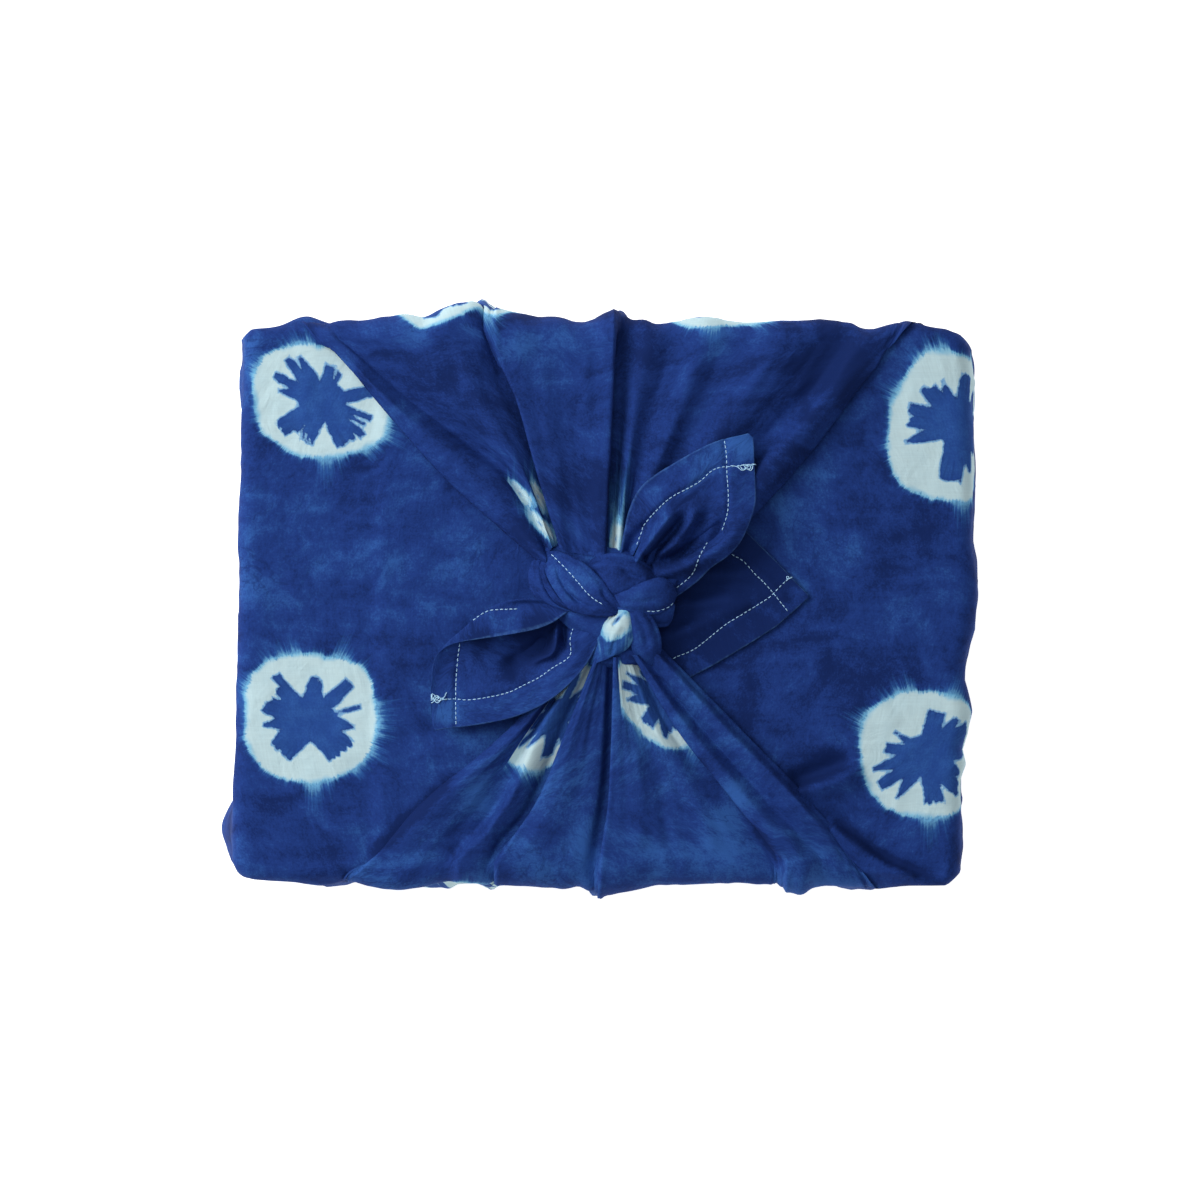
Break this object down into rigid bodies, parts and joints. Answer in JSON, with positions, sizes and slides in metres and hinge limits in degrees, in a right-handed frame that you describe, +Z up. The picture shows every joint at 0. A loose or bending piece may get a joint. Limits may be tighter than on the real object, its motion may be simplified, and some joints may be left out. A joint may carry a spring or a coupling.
{
  "type": "furoshiki wrap",
  "caption": "Cloth wrap folded round a low rectangular form, its pleated sides gathered and tied on top in a flat knot with loose hemmed corners.",
  "frame": {"origin": "middle of the flat resting bottom of the wrapped form, on the surface it stands on", "axes": "+X along the long side of the form, towards the side whose corner flap lies underneath; +Y towards the back gathered fan; +Z up through the knot"},
  "size_m": [0.3149, 0.2574, 0.1259],
  "materials": {
    "cloth": "matte"
  },
  "bodies": {
    "root": {"wrap_cloth": "cloth"}
  },
  "joints": []
}
